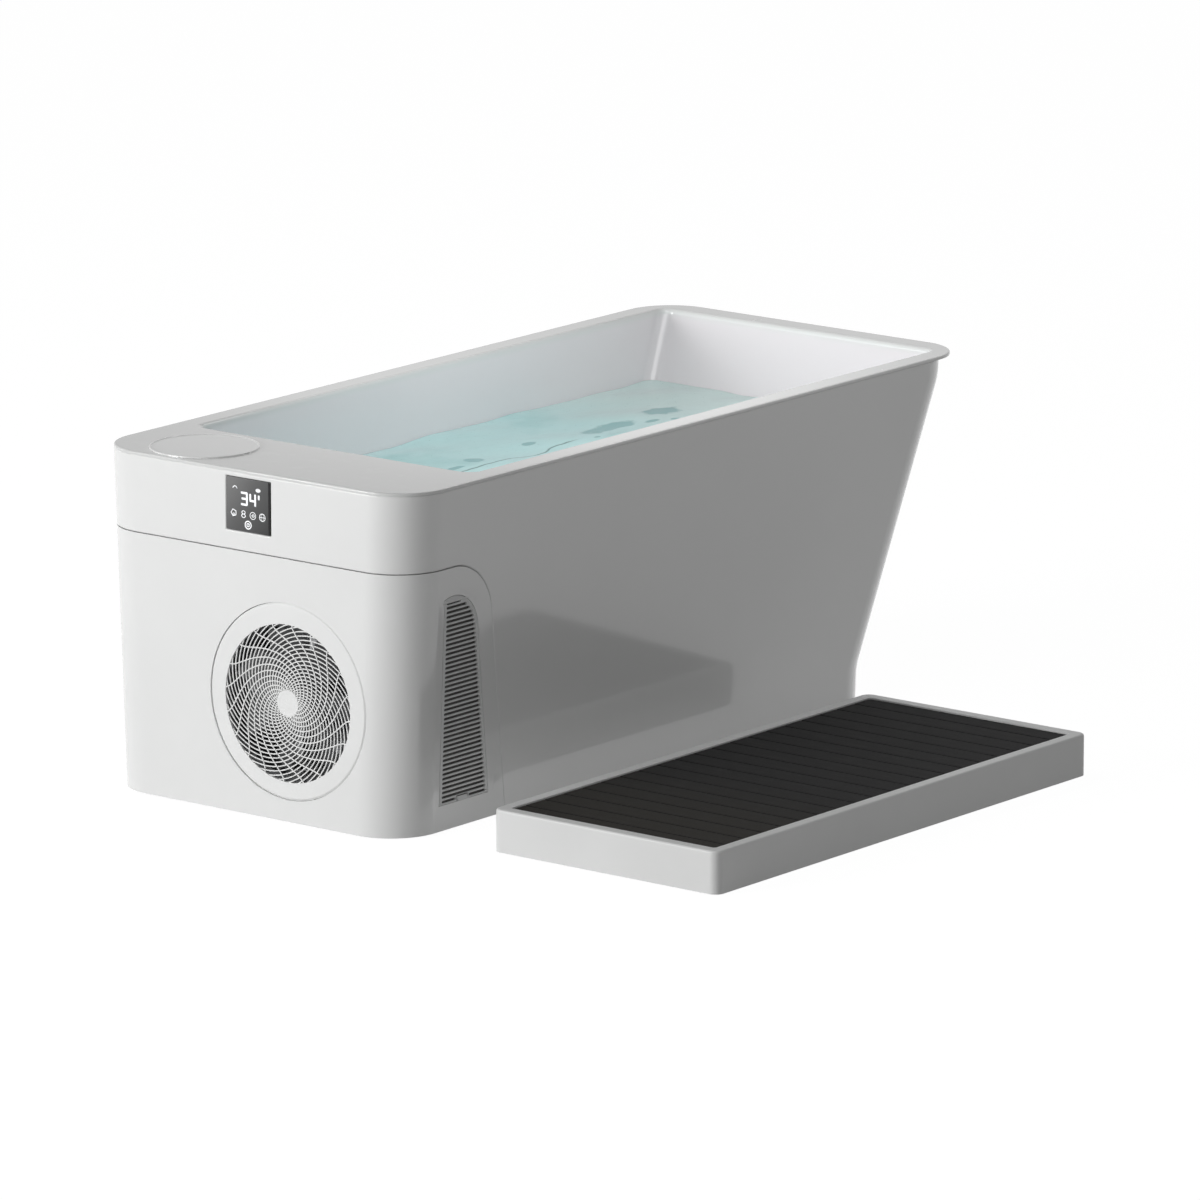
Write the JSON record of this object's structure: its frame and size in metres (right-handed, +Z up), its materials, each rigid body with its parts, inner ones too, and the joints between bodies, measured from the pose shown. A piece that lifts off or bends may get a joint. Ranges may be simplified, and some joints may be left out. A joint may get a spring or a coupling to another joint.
{
  "type": "cold plunge tub",
  "caption": "Cold plunge tub with a deep sloped basin, built-in chiller behind a spiral fan grille, side vents, deck filter cap, touch display and a low separate step with a grooved mat.",
  "frame": {"origin": "on the floor under the middle of the tub, at the sole of the centre foot", "axes": "+Y along the tub from the chiller end to the slanted foot end, +X to the step, +Z up"},
  "size_m": [1.393, 1.7, 0.6505],
  "materials": {
    "shell_white": "glossy white moulded shell",
    "basin_white": "glossy white basin",
    "grille_white": "satin white moulding",
    "vent_grey": "satin light grey moulding",
    "display_glass": "dark tinted touch panel",
    "black_plastic": "moulded, fine grain",
    "grey_plastic": "moulded, fine grain",
    "pipe_plastic": "extruded pipe",
    "frame_steel": "powder coated",
    "bright_steel": "zinc plated",
    "copper": "drawn copper tube",
    "fin_aluminium": "plain fins",
    "black_enamel": "baked enamel",
    "rubber": "moulded",
    "foam": "closed-cell foam board",
    "filter_fabric": "pleated spun polyester",
    "dust_mesh": "open mesh",
    "circuit_green": "solder-resist board",
    "lever_red": "dipped vinyl",
    "step_white": "satin white moulding",
    "mat_charcoal": "grooved foam planks with a fine grain"
  },
  "bodies": {
    "root": {"basin": "basin_white", "outer_skirt": "shell_white", "equipment_cover": "shell_white", "base_rail_right": "frame_steel", "base_rail_left": "frame_steel", "cross_member_front": "frame_steel", "cross_member_middle": "frame_steel", "cross_member_rear": "frame_steel", "floor_insulation": "foam", "levelling_feet": "rubber", "foot_locknuts": "bright_steel", "centre_foot": "rubber", "equipment_tray": "bright_steel", "cover_screws": "bright_steel", "fan_grille": "grille_white", "fan_shroud": "black_plastic", "motor_bracket": "frame_steel", "fan_motor": "black_enamel", "condenser_core": "fin_aluminium", "condenser_bends": "copper", "compressor": "black_enamel", "compressor_mounts": "rubber", "heat_exchanger": "black_plastic", "refrigerant_lines": "copper", "pump_housing": "black_plastic", "pump_motor": "black_enamel", "filter_housing": "pipe_plastic", "suction_fitting": "basin_white", "return_jet": "basin_white", "suction_pipe": "pipe_plastic", "pump_inlet_pipe": "pipe_plastic", "pump_outlet_pipe": "pipe_plastic", "return_pipe": "pipe_plastic", "drain_fitting": "bright_steel", "drain_pipe": "pipe_plastic", "drain_valve": "bright_steel", "display_glass": "display_glass", "display_housing": "black_plastic", "control_box": "grey_plastic", "control_board": "circuit_green", "control_lid": "grey_plastic", "power_inlet": "black_plastic"},
    "fan": {"fan_blades": "grey_plastic", "fan_shaft": "bright_steel"},
    "impeller": {"pump_impeller": "grey_plastic"},
    "filter_set": {"filter_cap": "shell_white", "cap_seal": "rubber", "filter_cartridge": "filter_fabric"},
    "vent_door_right": {"vent_right": "vent_grey", "dust_filter_right": "dust_mesh"},
    "vent_door_left": {"vent_left": "vent_grey", "dust_filter_left": "dust_mesh"},
    "latch_right": {"vent_latch_right": "vent_grey"},
    "latch_left": {"vent_latch_left": "vent_grey"},
    "plug": {"drain_plug": "bright_steel"},
    "lever": {"drain_lever": "lever_red"},
    "step": {"step_tray": "step_white", "step_ribs": "step_white", "step_feet": "rubber"},
    "mat": {"step_mat": "mat_charcoal"}
  },
  "joints": [
    {"name": "fan_spin", "type": "hinge", "parent": "root", "child": "fan", "pos_m": [0.09, -0.82, 0.2283], "axis": [0, 1, 0], "continuous": true},
    {"name": "impeller_spin", "type": "hinge", "parent": "root", "child": "impeller", "pos_m": [-0.129, -0.685, 0.103], "axis": [1, 0, 0], "continuous": true},
    {"name": "filter_lift", "type": "slide", "parent": "root", "child": "filter_set", "axis": [0, 0, 1], "range_m": [0, 0.32]},
    {"name": "vent_right_tilt", "type": "hinge", "parent": "root", "child": "vent_door_right", "pos_m": [0.36399, -0.72, 0.42981], "axis": [0, -1, 0], "range_deg": [0, 25]},
    {"name": "vent_left_tilt", "type": "hinge", "parent": "root", "child": "vent_door_left", "pos_m": [-0.36399, -0.72, 0.42981], "axis": [0, 1, 0], "range_deg": [0, 25]},
    {"name": "latch_right_press", "type": "slide", "parent": "vent_door_right", "child": "latch_right", "axis": [-0.9993, 0, 0.0372], "range_m": [0, 0.003], "stiffness_N_per_m": 400},
    {"name": "latch_left_press", "type": "slide", "parent": "vent_door_left", "child": "latch_left", "axis": [0.9993, 0, 0.0372], "range_m": [0, 0.003], "stiffness_N_per_m": 400},
    {"name": "plug_lift", "type": "slide", "parent": "root", "child": "plug", "axis": [0, 0, 1], "range_m": [0, 0.008]},
    {"name": "lever_turn", "type": "hinge", "parent": "root", "child": "lever", "pos_m": [-0.32346, -0.45, 0.08], "axis": [0, 0, 1], "range_deg": [0, 90]},
    {"name": "step_slide", "type": "slide", "parent": "root", "child": "step", "axis": [1, 0, 0], "range_m": [0, 0.25]},
    {"name": "mat_lift", "type": "slide", "parent": "step", "child": "mat", "axis": [0, 0, 1], "range_m": [0, 0.06]}
  ]
}
